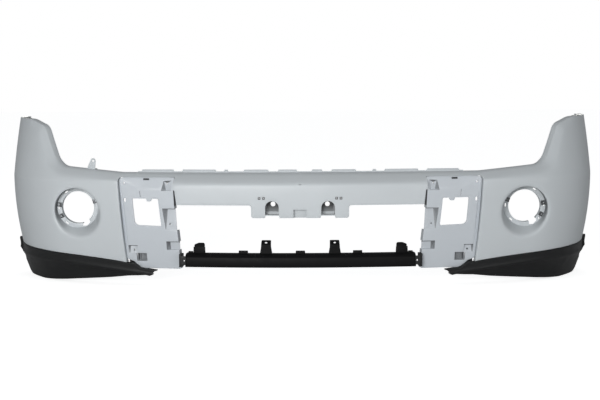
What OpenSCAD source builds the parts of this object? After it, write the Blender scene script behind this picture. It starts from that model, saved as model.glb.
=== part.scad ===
// Front bumper cover of a large off-road vehicle: a moulded face with raised wings,
// recessed trim panels, fog-lamp carriers, black lower corners and a black lower bar.
// The front of the cover faces -Y, X runs across the vehicle and Z is up.

/* [Face, plan view] */
// Plan radius of the middle of the face
middle_r = 2600; // [2200:50:3200]
// Plan radius between the middle and the corner
front_r = 1620; // [1400:20:1900]
// Plan radius of the corner
corner_r = 310; // [280:5:340]
// Plan radius where the corner runs into the side
side_r = 480; // [420:10:560]

/* [Face, heights] */
// Height of the upper edge of the middle bar
bar_top = 332; // [326:1:338]
// Height of the crease along the middle bar
bar_crease = 301; // [296:1:305]
// Height of the lower edge of the middle bar
bar_low = 241.5; // [236:0.5:246]
// Height of the lower edge of the middle drop
drop_low = 205; // [202:1:212]
// Height of the tip of each wing
wing_tip = 487; // [480:1:495]
// Height of the wing's lower edge beside the trim panel
wing_low = 69; // [66:1:73]

/* [Wall] */
// Wall thickness of the mouldings
wall = 3; // [2.6:0.1:3.4]

/* [Fog lamps] */
// Distance of each fog lamp from the middle of the vehicle
fog_x = 662; // [655:0.5:668]
// Height of the fog lamp's axis
fog_z = 225; // [222:1:230]
// Radius of the hole that the lamp looks through
fog_hole_r = 48; // [45:0.5:50]
// Radius of the dish where it meets its carrier
fog_seat_r = 61; // [58:0.5:63]

/* [Lower bar] */
// Half the length of the lower bar
bar_half = 334; // [330:1:336]

/* [Wheel arch] */
// Radius of the wheel arch
arch_r = 455; // [450:1:460]

/* [Hidden] */
$fn = 48;

primer = [0.78, 0.80, 0.82];
black = [0.10, 0.10, 0.10];
zinc = [0.70, 0.70, 0.68];
nylon = [0.90, 0.90, 0.86];

// Plan line: arcs of [radius, angle], tangent to each other, from the middle outwards
arcs = [[middle_r, 8], [front_r, 12], [corner_r, 46], [side_r, 22]];
arc_length = [for (a = arcs) a[0] * a[1] * PI / 180];

// Stations along the plan line
drop_end = 140;
bar_end = 355;
gap_end = 533;
wing_foot = 520;
panel_s = 445;

// Middle drop: tow openings and holes for the plate
tow_x = 80;
tow_top = 254;
tow_r = 19.5;
plate_z = 262;
plate_x = [104, 116.5];

// Stations and heights of the fastenings
fender_s = [930, 1020, 1110];
corner_rivet_s = [560, 680, 800, 920];
arch_screw_z = [150, 280, 410];
strip_rivet_s = [48, 125, 290, 420];

// The face bulges most at crown_z, and the ears lean back above it
crown = 5;
crown_z = 310;
arch_y = 825;
arch_z = 122;
flange = 20;

function lerp(a, b, t) = a + (b - a) * t;
function clamp(x) = max(0, min(1, x));

// End of an arc of radius r and angle a that starts at p = [x, y, heading]
function arc_end(p, r, a) = [
    p[0] + r * (sin(p[2] + a) - sin(p[2])),
    p[1] + r * (cos(p[2]) - cos(p[2] + a)),
    p[2] + a
];
function walk(s, i = 0, p = [0, 0, 0]) =
    i == len(arcs) ? [p[0] + s * cos(p[2]), p[1] + s * sin(p[2]), p[2]]
    : s <= arc_length[i] ? arc_end(p, arcs[i][0], arcs[i][1] * s / arc_length[i])
    : walk(s - arc_length[i], i + 1, arc_end(p, arcs[i][0], arcs[i][1]));
// [x, y, heading] on the plan line, s millimetres along it from the middle
function plan(s) = let (p = walk(abs(s))) s < 0 ? [-p[0], p[1], -p[2]] : p;

function bulge(z) = let (d = z - crown_z) crown - (d < 0 ? 21 * pow(d / 200, 2) : 6 * pow(d / 177, 2));
function lean(z) = 0.45 * max(0, z - crown_z);
function arch_edge_y(z) = arch_y - sqrt(arch_r * arch_r - pow(z - arch_z, 2));
mid_y = (arch_edge_y(wing_tip) - crown) / 2;

// Point at station s and height z, set back by inset square to the plan line
function face(p) =
    let (q = plan(p[0]), out = bulge(p[1]) - p[2])
    [q[0] + out * sin(q[2]), q[1] - out * cos(q[2]) + lean(p[1]) - mid_y, p[1]];

// Station where the face meets the wheel arch at height z
function arch_s(z, a = 700, b = 1500, n = 26) =
    n == 0 ? (a + b) / 2
    : let (m = (a + b) / 2)
      face([m, z, 0])[1] + mid_y < arch_edge_y(z) ? arch_s(z, m, b, n - 1) : arch_s(z, a, m, n - 1);

// Height of the wing's lower edge
function low_z(s) = wing_low + 32 * sin(90 * pow(clamp((s - wing_foot) / 535), 0.8));

// Corner i of an outline replaced by a rounding of radius r, in n steps
function rounded(a, b, c, r, n) =
    r == 0 ? [b] :
    let (
        u = (a - b) / norm(a - b), v = (c - b) / norm(c - b),
        reach = r * tan((180 - acos(u * v)) / 2)
    )
    [for (k = [0:n]) let (t = k / n, p = b + u * reach, q = b + v * reach)
        lerp(lerp(p, b, t), lerp(b, q, t), t)];

// Upper edge of a wing from the trim panel to the tip
wing_a = [gap_end, bar_top + 0.5];
wing_b = [745, 349];
wing_c = [806, 464];
wing_d = [876, 485];
wing_e = [arch_s(wing_tip), wing_tip];
wing_edge = concat(
    [for (k = [0:5]) lerp(wing_a, wing_b, 0.165 * k)],
    rounded(wing_a, wing_b, wing_c, 60, 4),
    [for (k = [1:3]) lerp(wing_b, wing_c, 0.12 + 0.2 * k)],
    rounded(wing_b, wing_c, wing_d, 40, 3),
    rounded(wing_c, wing_d, wing_e, 120, 2),
    [for (k = [1:7]) lerp(wing_d, wing_e, (k + 0.5) / 7.5)]
);
wings = len(wing_edge);
wing_foot_s = concat(
    [for (k = [0:5]) lerp(wing_foot, 668, k / 5)],
    [for (k = [1:wings - 6]) lerp(668, arch_s(low_z(1050)), k / (wings - 6))]
);

// Direction into the face, square to the wing's edge at point i
function edge_in(i) =
    i == 0 || i == wings - 1 ? [0, -1]
    : let (t = wing_edge[i + 1] - wing_edge[i - 1], u = t / norm(t)) [u[1], -u[0]];

// How far the chamfer is set back at its top, and how wide it is, along the upper edge
function chamfer_inset(s) = lookup(s, [
    [bar_end, 38], [gap_end, 24], [wing_b[0], 24], [wing_c[0], 10], [wing_d[0], 0]
]);
function chamfer_width(s) = lookup(s, [
    [bar_end, bar_top - bar_crease], [gap_end, 21], [wing_c[0], 21], [wing_d[0], 14]
]);

// Columns of the face from the middle to the wheel arch: [edge point, direction in, foot]
middle_s = concat(
    [for (k = [0:4]) drop_end * k / 4],
    [for (k = [1:4]) lerp(drop_end, bar_end, k / 4)],
    [for (k = [1:3]) lerp(bar_end, gap_end, k / 4)]
);
columns = concat(
    [for (s = middle_s) [[s, bar_top], [0, -1], [s, drop_low]]],
    [for (i = [0:wings - 1]) [wing_edge[i], edge_in(i), [wing_foot_s[i], low_z(wing_foot_s[i])]]]
);
halves = len(columns);
bar_columns = 8;
first_wing = len(middle_s);

// Rows: two of flange, four of chamfer, then the wall down to the foot, and a flange there
wall_rows = [0.1, 0.25, 0.4, 0.55, 0.7, 0.85, 1];
gap_row = 4;
crease_row = 6;
rows = crease_row + len(wall_rows) + 1;

// Point [station, height, inset] of the outside of the face in row j of column c
function on_column(j, c) =
    let (
        edge = columns[c][0], in = columns[c][1], foot = columns[c][2],
        inset = chamfer_inset(edge[0]), width = chamfer_width(edge[0]),
        gap = c < first_wing ? 14 : 0.6 * width,
        crease = edge + width * in,
        v = wall_rows[j - crease_row - 1],
        deep = j <= 2 ? 0 : j == 3 ? gap / 2 : j == 4 ? gap : j == 5 ? (gap + width) / 2 : width,
        on_edge = edge + deep * in
    )
    j < 2 ? [edge[0], edge[1], inset + flange * (2 - j) / 2]
    : j <= crease_row ? [on_edge[0], on_edge[1], inset * (1 - deep / width)]
    : j == rows ? [foot[0], foot[1], flange]
    : c <= bar_columns ? [edge[0], v <= 0.7 ? lerp(crease[1], bar_low, v / 0.7)
        : lerp(bar_low, drop_low, (v - 0.7) / 0.3), 0]
    : [lerp(crease[0], foot[0], v), lerp(crease[1], foot[1], v), 0];

// The last column bends to follow the wheel arch, and the ones before it follow less and less
arch_shift = [for (j = [0:rows]) let (p = on_column(j, halves - 1)) arch_s(p[1]) - p[0]];
function outside(j, c) =
    let (p = on_column(j, c), w = pow(max(0, c - first_wing) / (halves - 1 - first_wing), 2))
    p + [w * arch_shift[j], 0, 0];

// The same point on the inside of the wall
function inside(j, c) =
    let (
        p = outside(j, c), in = columns[c][1],
        edgeways = j <= 2 ? 1 : j <= 5 ? 0.7 : j == 6 ? 0.3 : 0,
        back = j < 2 ? 0 : j == 2 ? 0.6 : j <= 5 ? 0.75 : 1,
        up = j >= rows - 1 ? wall : 0,
        aside = c == halves - 1 ? wall : 0
    )
    [
        p[0] + wall * edgeways * in[0] - aside,
        p[1] + wall * edgeways * in[1] + up,
        p[2] + (j == rows ? 0 : wall * back)
    ];

// Grid of points across the whole face, the wheel-arch flange being its last column each side
function half_row(j, inner) = [for (c = [0:halves])
    let (p = inner ? inside(j, min(c, halves - 1)) : outside(j, min(c, halves - 1)))
    c < halves ? p : [p[0], p[1], flange - 4]];
function mirrored(p) = [-p[0], p[1], p[2]];
function grid(inner) = [for (j = [0:rows]) let (half = half_row(j, inner))
    [for (p = concat([for (i = [halves:-1:1]) mirrored(half[i])], half)) face(p)]];

// Is there wall in the cell below row j and outboard of column c
function has_wall(j, c) =
    c < 4 ? true
    : c < bar_columns ? j < rows - 3
    : c < first_wing ? j < gap_row
    : c == halves - 1 ? j > 1 && j < rows - 1
    : true;

// Faces of the closed solid between an outer and an inner grid of points, m by n cells;
// keep(j, i) says which cells are there
function solid_faces(m, n, keep) =
    let (
        a = function (j, i) j * (n + 1) + i,
        b = function (j, i) (m + 1) * (n + 1) + j * (n + 1) + i,
        on = function (j, i) j >= 0 && j < m && i >= 0 && i < n && keep(j, i),
        quad = function (p, q, r, s) [[p, q, r], [p, r, s]]
    )
    [for (j = [0:m - 1], i = [0:n - 1]) if (on(j, i)) each concat(
        quad(a(j, i), a(j, i + 1), a(j + 1, i + 1), a(j + 1, i)),
        quad(b(j, i), b(j + 1, i), b(j + 1, i + 1), b(j, i + 1)),
        on(j - 1, i) ? [] : quad(a(j, i + 1), a(j, i), b(j, i), b(j, i + 1)),
        on(j + 1, i) ? [] : quad(a(j + 1, i), a(j + 1, i + 1), b(j + 1, i + 1), b(j + 1, i)),
        on(j, i - 1) ? [] : quad(a(j, i), a(j + 1, i), b(j + 1, i), b(j, i)),
        on(j, i + 1) ? [] : quad(a(j + 1, i + 1), a(j, i + 1), b(j, i + 1), b(j + 1, i + 1))
    )];

// ---------------------------------------------------------------- shared helpers

module on_face(s, z, inset = 0)
    translate(face([s, z, inset])) rotate([0, 0, plan(s)[2]]) children();
module both_sides() {
    children();
    mirror([1, 0, 0]) children();
}
module arch_place(z)
    translate(face([arch_s(z) - 1.5, z, 11])) rotate([0, 0, plan(arch_s(z))[2] + 90]) children();
module strip_rivet_place(s)
    translate(face([s, strip_z + 2.05, strip_inset(s) + 6.2])) children();
// A cylinder that runs from y = 0 to y = length
module rod(r, length) rotate([-90, 0, 0]) cylinder(r = r, h = length);
// A plate of the outline between y0 and y1, the outline drawn in x and z
module plate(y0, y1) translate([0, y1, 0]) rotate([90, 0, 0]) linear_extrude(y1 - y0) children();
// A bar of the outline between x0 and x1, the outline drawn in y and z
module bar_along_x(x0, x1) translate([x0, 0, 0]) rotate([90, 0, 90]) linear_extrude(x1 - x0) children();
module box_at(x, y, z) translate([x[0], y[0], z[0]]) cube([x[1] - x[0], y[1] - y[0], z[1] - z[0]]);

// Pan-head screw: head from y = 0 forwards, shank backwards
module pan_screw(head_r, head_h, shank_r, shank) {
    difference() {
        translate([0, -head_h, 0]) rod(head_r, head_h);
        translate([0, -head_h - 0.01, 0]) rod(head_r * 0.4, head_h * 0.55);
    }
    translate([0, -0.01, 0]) rod(shank_r, shank);
}

// ---------------------------------------------------------------- face

module skin_wall() {
    n = 2 * halves;
    function cell(i) = i < halves ? halves - 1 - i : i - halves;
    polyhedron(
        points = concat([for (r = grid(false)) each r], [for (r = grid(true)) each r]),
        faces = solid_faces(rows, n, function (j, i) has_wall(j, cell(i))),
        convexity = 10
    );
}

// Wall of the dish, from a ring on the face to the fog lamp's seat
module fog_dish() {
    n = 48;
    function on_skin(r, inset) = [for (k = [0:n - 1])
        let (a = 360 * k / n) face([dish_s + r * cos(a) / 0.95, dish_z + r * sin(a), inset])];
    function on_seat(r) = [for (k = [0:n - 1])
        let (a = 360 * k / n) [fog_x + r * cos(a), seat_y, fog_z + r * sin(a)]];
    rings = [
        on_skin(dish_r + 2, 2.4), on_seat(fog_seat_r + wall), on_seat(fog_seat_r),
        on_skin(dish_r - 1, 0.8)
    ];
    polyhedron(
        points = [for (r = rings) each r],
        faces = [for (q = [0:3], k = [0:n - 1]) let (
            a = q * n + k, b = q * n + (k + 1) % n,
            c = ((q + 1) % 4) * n + (k + 1) % n, d = ((q + 1) % 4) * n + k
        ) each [[a, b, c], [a, c, d]]],
        convexity = 6
    );
}

// Arch-topped outline of a tow opening, in x and z
module tow_outline(grow = 0) {
    translate([0, tow_top - tow_r]) circle(r = tow_r + grow);
    translate([-tow_r - grow, drop_low + 5 - grow])
        square([2 * (tow_r + grow), tow_top - tow_r - drop_low - 5 + grow]);
}
// Closed pocket behind a tow opening, with a hole in its back
module tow_pocket() translate([tow_x, 0]) difference() {
    plate(-274, -240) tow_outline(2);
    plate(-275, -243) tow_outline();
    plate(-245, -235) translate([0, tow_top - 12]) circle(r = 7);
}
// Shallow recess in the lower edge of the middle drop
module middle_recess() difference() {
    box_at([-21, 21], [-274, -262], [drop_low, 231]);
    box_at([-18.5, 18.5], [-276, -264.5], [drop_low - 1, 229]);
}

// Bosses on the back of each wing that the trim panel's lap is screwed to
module lap_bosses() panel_frame() for (z = lap_screw_z) difference() {
    translate([lap_x(z), boss_foot(z), z]) rod(4, lap_y(z) - 0.1 - boss_foot(z));
    translate([lap_x(z), lap_y(z) - 16, z]) rod(2, 17);
}

module face_skin() {
    color(primer) difference() {
        union() {
            difference() {
                skin_wall();
                both_sides() {
                    translate([dish_x, -260, dish_z]) rod(dish_r, 130);
                    translate([tow_x, 0]) plate(-330, -240) tow_outline();
                }
                box_at([-18.5, 18.5], [-330, -240], [drop_low - 1, 229]);
            }
            both_sides() {
                fog_dish();
                tow_pocket();
            }
            middle_recess();
            both_sides() lap_bosses();
        }
        both_sides() {
            for (x = plate_x) translate([x, -300, plate_z]) plate(0, 40) square(5, center = true);
            for (s = fender_s)
                on_face(s, wing_edge_z(s), 12) translate([0, 0, -8]) cylinder(r = 3.4, h = 16);
            for (s = corner_rivet_s) translate(face([s, low_z(s) - 5, 10])) cylinder(r = 3.2, h = 16);
            for (z = arch_screw_z) arch_place(z) rod(2.4, 20);
            for (s = strip_rivet_s)
                strip_rivet_place(s) translate([0, 0, -10]) cylinder(r = 1.8, h = 12);
        }
    }
}

// ---------------------------------------------------------------- trim panels

module panel_frame() {
    q = plan(panel_s);
    translate([q[0], q[1] - mid_y, 0]) rotate([0, 0, q[2]]) children();
}

panel_low = 51.5;
panel_front = [[17, 319.5], [7, 287], [8, 240], [13, 190], [21, 136], [31, 90], [41, panel_low]];
function behind(points, by) = [for (p = points) [p[0] + by, p[1]]];
function backwards(points) = [for (i = [len(points) - 1:-1:0]) points[i]];
module panel_profile(depth = 0, thick = wall) polygon(concat(
    behind(panel_front, depth), backwards(behind(panel_front, depth + thick))));

module panel_outline() polygon(concat(
    [[-77, 319.5]],
    rounded([-77, 319.5], [86, 319.5], [73, 79], 12, 5),
    [[73, 79], [53, 72], [31, panel_low], [-89, panel_low], [-89, 136], [-76, 240]]
));
module window_outline(grow = 0) {
    a = [-31.5 - grow, 258 + grow];
    b = [46 + grow, 258 + grow];
    c = [41 + grow, 181 - grow];
    d = [-38.5 - grow, 178.5 - grow];
    polygon(concat(
        rounded(d, a, b, 3, 3), rounded(a, b, c, 3, 3), rounded(b, c, d, 14, 4), rounded(c, d, a, 4, 3)
    ));
}
module corners(x, z) translate([x[0], z[0]]) square([x[1] - x[0], z[1] - z[0]]);

// The layer of the panel between two depths behind its front, cut to an outline
module layer(from, to) intersection() {
    bar_along_x(-95, 100) panel_profile(from, to - from);
    plate(-10, 100) children();
}
// The panel is screwed to the wing through the lap behind the wing's edge
lap_screw_z = [110, 180, 250, 300];
function lap_x(z) = lerp(80.2, 90.4, (z - 110) / 190);
function panel_y(z) = lookup(z, backwards([for (p = panel_front) [p[1], p[0]]]));
function lap_y(z) = panel_y(z) + 11;
function boss_foot(z) = 4.5 - bulge(z);

// Recesses in the panel: [x range, z range, depth]
recesses = [[[-75, -61], [169, 230], 11], [[-81, -50], [108, 134], 14], [[34, 63], [97, 120], 12],
    [[-71, -43], [283, 311], 5]];

module panel_shell() {
    layer(0, wall) panel_outline();
    // inner side flange in two lengths
    layer(0, 24) polygon([[-76, 240], [-77, 319.5], [-74, 319.5], [-73, 240]]);
    layer(0, 24) polygon([
        [-89, panel_low], [-89, 136], [-76, 240], [-73, 240], [-86, 136], [-86, panel_low]
    ]);
    // rim along the outer edge, with a lap that runs behind the wing
    layer(0, 14) polygon([[82.6, 309], [85.6, 309], [73, 79], [70, 79]]);
    layer(11, 14) polygon([[82, 318], [96, 318], [84, 82], [70, 82]]);
    // lower lip and the rim of the window
    box_at([-89, 31], [40.5, 56], [panel_low, panel_low + wall]);
    layer(0, 5) window_outline(3);
    for (r = recesses)
        layer(0, r[2] + wall) corners(r[0] + [-wall, wall], r[1] + [-wall, wall]);
}

panel_holes = [[-57.7, 302.4, 2.2], [70.6, 303.7, 2.6], [-63.9, 184.7, 2.2], [49.3, 106, 2.2]];
module trim_panel() {
    difference() {
        panel_shell();
        layer(-5, 40) {
            window_outline();
            corners([-3.7, 14.1], [311.5, 316.5]);
            corners([22, 25], [263, 281]);
            corners([66.5, 73], [246, 259]);
            corners([12, 43], [73, 97]);
            for (p = panel_holes) translate([p[0], p[1]]) circle(r = p[2]);
            for (z = lap_screw_z) translate([lap_x(z), z]) circle(r = 2.3);
        }
        for (r = recesses) layer(-5, r[2]) corners(r[0], r[1]);
    }
    // tab that hangs from the window's upper edge
    difference() {
        layer(0, wall) union() {
            translate([-4, 256]) circle(r = 8);
            corners([-12, 4], [256, 262]);
        }
        layer(-1, 10) translate([-4, 254]) circle(r = 3);
    }
}
module trim_panel_right() { color(primer) panel_frame() trim_panel(); }
module trim_panel_left() { color(primer) mirror([1, 0, 0]) panel_frame() trim_panel(); }

module panel_screws() {
    color(zinc) both_sides() panel_frame() for (z = lap_screw_z)
        translate([lap_x(z), lap_y(z) + wall + 0.6, z]) rotate([0, 0, 180]) pan_screw(4.2, 2.4, 1.9, 15);
}
// Nuts behind three of the panel's open holes; depths are those of the floor at each hole
nut_depths = [12, 10.6, 25.8, 39.2];
module panel_nuts() {
    for (k = [0, 2, 3])
        translate([panel_holes[k][0], nut_depths[k] + wall + 0.8, panel_holes[k][1]]) difference() {
            union() {
                box_at([-6, 6], [0, 1.2], [-7, 7]);
                rod(4, 5);
            }
            translate([0, -1, 0]) rod(2, 8);
        }
}
module panel_nuts_right() { color(zinc) panel_frame() panel_nuts(); }
module panel_nuts_left() { color(zinc) mirror([1, 0, 0]) panel_frame() panel_nuts(); }

// Ribbed seat for the lamp clip, in the small lower window of the panel
module clip_seat() {
    difference() {
        union() {
            box_at([12.6, 42.4], [37, 47], [73.6, 96.4]);
            box_at([32.9, 42.4], [46.9, 62], [73.6, 96.4]);
        }
        box_at([14.6, 32.9], [36, 45], [75.6, 94.4]);
        box_at([34.9, 40.4], [36, 60], [75.6, 94.4]);
    }
    for (k = [0:3]) box_at([14.5, 33], [41, 45.5], [77.5 + 4.6 * k, 79 + 4.6 * k]);
}
module clip_seat_right() { color(nylon) panel_frame() clip_seat(); }
module clip_seat_left() { color(nylon) mirror([1, 0, 0]) panel_frame() clip_seat(); }

// ---------------------------------------------------------------- fog-lamp carriers

// The dish lies a little inboard of and below the seat it leads to
dish_s = 669;
dish_x = 660;
dish_r = 73;
dish_z = 213;
seat_y = 145 - mid_y;
ear_angles = [35, 155, 270];
lamp_nut_angles = [9, -27, 160];
// Angles of the slots in the seat, counted from its outer side
slots_right = [60, 3, 178, 225, -39];
slots_left = [54, 0, -54];
step_outline = [[13, -38], [14, -55], [26, -55], [36, -44], [32, -34]];

module fog_slot() plate(-1, 6) {
    square([7, 3.4], center = true);
    for (x = [-3.5, 3.5]) translate([x, 0]) circle(r = 1.7);
}
// side is 1 where the step in the hole is on the outer side, and -1 where it is on the inner one
module fog_carrier(side, slots) {
    translate([fog_x, seat_y, fog_z]) difference() {
        union() {
            rod(fog_seat_r + 5, wall);
            rod(fog_hole_r + wall, 22);
            for (a = ear_angles) rotate([0, a, 0]) translate([fog_seat_r + 2, 0, 0]) {
                rod(8, wall);
                rod(5.5, 13);
            }
        }
        translate([0, -1, 0]) rod(fog_hole_r, 30);
        for (a = ear_angles) rotate([0, a, 0]) translate([fog_seat_r + 2, -1, 0]) rod(2.1, 20);
        for (a = slots) rotate([0, -a, 0]) translate([56.6, 0, 0]) rotate([0, 90, 0]) fog_slot();
        scale([side, 1, 1]) plate(-1, 30) polygon(step_outline);
    }
}
module fog_carrier_right() { color(primer) fog_carrier(1, slots_right); }
module fog_carrier_left() { color(primer) mirror([1, 0, 0]) fog_carrier(-1, slots_left); }

module fog_carrier_screws() {
    color(zinc) both_sides() translate([fog_x, seat_y + wall, fog_z])
        for (a = ear_angles) rotate([0, a, 0]) translate([fog_seat_r + 2, 10, 0])
            rotate([0, 0, 180]) pan_screw(4.5, 2.6, 2.0, 9.5);
}
module fog_lamp_nuts() {
    color(zinc) both_sides() translate([fog_x, seat_y, fog_z])
        for (a = lamp_nut_angles) rotate([0, -a, 0]) translate([fog_hole_r + 6.8, -1.2, 0]) difference() {
            union() {
                box_at([-6.5, 5.5], [0, 1.2], [-6.5, 6.5]);
                box_at([-6.5, -5.3], [-5, 1.2], [-6.5, 6.5]);
            }
            translate([1, -1, 0]) rod(1.6, 4);
        }
}

// ---------------------------------------------------------------- black lower corners

ridge_line = [[430, 33], [508, 43], [603, 54], [739, 68], [1003, 72], [1045, 80]];
corner_bottom = [
    [430, 31], [520, 27], [580, 16], [640, 6], [690, 0], [950, 0], [985, 6], [1012, 22],
    [1045, 42], [1090, 62]
];
corner_end = arch_s(low_z(1045)) - 1;
corner_s = concat(
    [430, 455, 476, 497, wing_foot, 550, 580, 610, 640, 665, 690],
    [for (k = [1:5]) lerp(690, 950, k / 5)],
    [985, 1012, corner_end, corner_end + 5, corner_end + 30]
);
corner_n = len(corner_s) - 1;
function corner_top(s) =
    s < wing_foot ? lookup(s, [[430, 47], [476, 53], [497, wing_low], [wing_foot, wing_low - 1]])
    : s > corner_end ? low_z(s) + 10
    : low_z(s) - 1;
function corner_row(j, s) =
    let (
        top = corner_top(s),
        ridge = min(lookup(s, ridge_line), top - 4),
        low = min(lookup(s, corner_bottom), ridge - 4)
    )
    j == 0 ? [s, top, 17]
    : j == 1 ? [s, top, 1]
    : j == 2 ? [s, lerp(top, ridge, 0.5), -3]
    : j == 3 ? [s, lerp(top, ridge, 0.8), -5]
    : j == 4 ? [s, ridge, -7]
    : j == 5 ? [s, lerp(ridge, low, 0.2), -2]
    : j == 6 ? [s, lerp(ridge, low, 0.6), 2]
    : j == 7 ? [s, low, 4]
    : [s, low, 32];
function corner_back(j, s) = let (p = corner_row(j, s))
    [p[0], p[1] + (j <= 1 ? -wall : j >= 7 ? wall : 0), p[2] + (j == 0 || j == 8 ? 0 : wall)];

module corner_shell() {
    polyhedron(
        points = concat(
            [for (j = [0:8], s = corner_s) face(corner_row(j, s))],
            [for (j = [0:8], s = corner_s) face(corner_back(j, s))]
        ),
        faces = solid_faces(8, corner_n, function (j, i) true),
        convexity = 8
    );
}
// Tab that holds the corner to the back of the trim panel
module corner_tab() panel_frame() difference() {
    union() {
        box_at([50, 69], [36, 46.5], [63.5, 66.5]);
        box_at([50, 69], [43.5, 46.5], [63.5, 86]);
    }
    translate([64, 42, 73]) rod(2.8, 6);
}
module lower_corner() {
    corner_shell();
    corner_tab();
}
module lower_corner_right() { color(black) lower_corner(); }
module lower_corner_left() { color(black) mirror([1, 0, 0]) lower_corner(); }

module lower_corner_rivets() {
    color(black) both_sides() for (s = corner_rivet_s)
        translate(face([s, corner_top(s) - wall - 3, 10])) {
            cylinder(r = 6, h = 2.4);
            translate([0, 0, 2.3]) cylinder(r = 3, h = wall + 4);
        }
}

module corner_bolts() {
    color(black) both_sides() panel_frame() translate([64, 40, 73]) {
        difference() {
            rod(4.6, 3.4);
            translate([0, -1, 0]) rod(2, 3);
        }
        translate([0, 3.3, 0]) rod(2.6, 12);
    }
}

// ---------------------------------------------------------------- lower bar

bar_r = 2400;
bar_front = 14 - mid_y;
bar_angle = asin(bar_half / bar_r);
module around(a0, a1) translate([0, bar_front + bar_r, 0]) rotate([0, 0, -90 + a0])
    rotate_extrude(angle = a1 - a0, $fn = 360) children();
// Outline of the bar as [distance back from its front, height]
module bar_outline() translate([bar_r, 0]) scale([-1, 1]) difference() {
    polygon([[0, 62], [-0.01, 88], [5, 94], [14, 99], [34, 99], [34, 96], [34, 59.5], [4, 59.5]]);
    polygon([[3, 63], [3, 87], [7.5, 91.6], [15, 96], [35, 96], [35, 58.5], [5, 58.5]]);
}
module bar_piece(x0, x1, y0, y1, z0, z1) {
    a = asin((x0 + x1) / 2 / bar_r);
    translate([0, bar_front + bar_r, 0]) rotate([0, 0, a])
        translate([-(x1 - x0) / 2, -bar_r + y0, z0]) cube([x1 - x0, y1 - y0, z1 - z0]);
}
post_x = 100;
post_knee = [15.6, 124.4];
// Upright post with a slanted top that has a screw hole
module bar_post() {
    translate([0, bar_front + bar_r, 0]) rotate([0, 0, asin(post_x / bar_r)]) translate([0, -bar_r, 0]) {
        plate(15, 18.5) polygon([[-18, 97], [-14, 112], [-14, 126.5], [14, 126.5], [14, 112], [18, 97]]);
        translate([0, post_knee[0], post_knee[1]]) rotate([-50, 0, 0]) difference() {
            box_at([-13.5, 13.5], [0, 3.5], [0, 19]);
            translate([0, -1, 10]) rod(4, 6);
        }
    }
}
module lower_bar() {
    color(black) {
        difference() {
            around(-bar_angle, bar_angle) bar_outline();
            for (x = [-326, 326, -318, 318]) bar_piece(x - 2, x + 2, 22, 28, 92, 102);
        }
        for (x = [-166, 0, 166]) bar_piece(x - 14, x + 14, 15, 18, 98, 108);
        both_sides() {
            bar_post();
            bar_piece(277, 313, 15, 18, 98, 129);
            bar_piece(313, 328, 15, 18, 98, 105);
            for (x = [40, 130, 200, 260]) bar_piece(x, x + 2.5, 2, 30, 60, 97);
        }
    }
}

bracket_screw_z = [72, 86];
module bar_bracket() {
    color(black) panel_frame() difference() {
        union() {
            box_at([-96, -90], [16, 44], [60, 98]);
            box_at([-96, -78], [41, 44], [60, 98]);
            box_at([-110, -90], [16, 19], [66, 92]);
        }
        for (z = bracket_screw_z) translate([-84, 38, z]) rod(2.2, 10);
        translate([-104.5, 10, 79]) rod(2.4, 12);
    }
}
module bar_bracket_right() { bar_bracket(); }
module bar_bracket_left() { mirror([1, 0, 0]) bar_bracket(); }
module bar_screws() {
    color(zinc) both_sides() panel_frame() {
        for (z = bracket_screw_z) translate([-84, 44.1, z]) rotate([0, 0, 180]) pan_screw(4.2, 2.4, 2.1, 8);
    }
}

// ---------------------------------------------------------------- strip along the top

tabs = [
    [-470, -376], [-347, -250], [-222, -214], [-164, -95], [-63, -11],
    [36, 63], [94, 162], [214, 222], [250, 347], [376, 470]
];
tab_height = 8.5;
base_height = 3.5;
strip_end = 484;
strip_s = concat([-strip_end], [for (t = tabs, k = [0:2]) lerp(t[0], t[1], k / 2)], [strip_end]);
function strip_inset(s) = lookup(abs(s), [[bar_end, 47], [gap_end, 36]]);
strip_z = bar_top + 0.2;
module strip_shell() {
    function row(j, s) = let (b = strip_inset(s))
        j == 0 ? [s, strip_z + tab_height, b]
        : j == 1 ? [s, strip_z + base_height, b]
        : j == 2 ? [s, strip_z, b]
        : [s, strip_z, b + 9];
    function on_tab(j, i) = j > 0 || (i > 0 && i < len(strip_s) - 2 && (i - 1) % 3 != 2);
    function back(j, s) = let (p = row(j, s))
        [p[0], p[1] + (j >= 2 ? 2 : 0), p[2] + (j == 3 ? 0 : 2)];
    polyhedron(
        points = concat(
            [for (j = [0:3], s = strip_s) face(row(j, s))],
            [for (j = [0:3], s = strip_s) face(back(j, s))]
        ),
        faces = solid_faces(3, len(strip_s) - 1, function (j, i) on_tab(j, i)),
        convexity = 8
    );
}
module grille_strip() {
    color(primer) difference() {
        strip_shell();
        both_sides() for (s = strip_rivet_s)
            strip_rivet_place(s) translate([0, 0, -4]) cylinder(r = 1.8, h = 6);
    }
}
module grille_strip_rivets() {
    color(black) both_sides() for (s = strip_rivet_s) strip_rivet_place(s) {
        cylinder(r = 3, h = 1.6);
        translate([0, 0, -7]) cylinder(r = 1.6, h = 7.1);
    }
}

// ---------------------------------------------------------------- small parts

bracket_s = -634;
bracket_z = lerp(wing_a[1], wing_b[1], (634 - gap_end) / (wing_b[0] - gap_end)) - 0.5;
module washer_bracket() {
    color(primer) on_face(bracket_s, bracket_z, 34) difference() {
        union() {
            plate(0, 2.5) {
                translate([6, 24]) circle(r = 8);
                polygon([[-14, 0], [-10, 9], [-1.6, 26.4], [14, 24], [12, 0]]);
            }
            box_at([-14, 12], [0, 16], [-1.5, 1.5]);
        }
        translate([6, -1, 24]) rod(3.5, 6);
        translate([0, 9.5, -3]) cylinder(r = 2.4, h = 6);
    }
}
module washer_bracket_screw() {
    color(zinc) on_face(bracket_s, bracket_z, 34) translate([0, 9.5, 1.55]) {
        cylinder(r = 4.5, h = 2.6);
        translate([0, 0, -9]) cylinder(r = 2.1, h = 9.1);
    }
}

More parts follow.
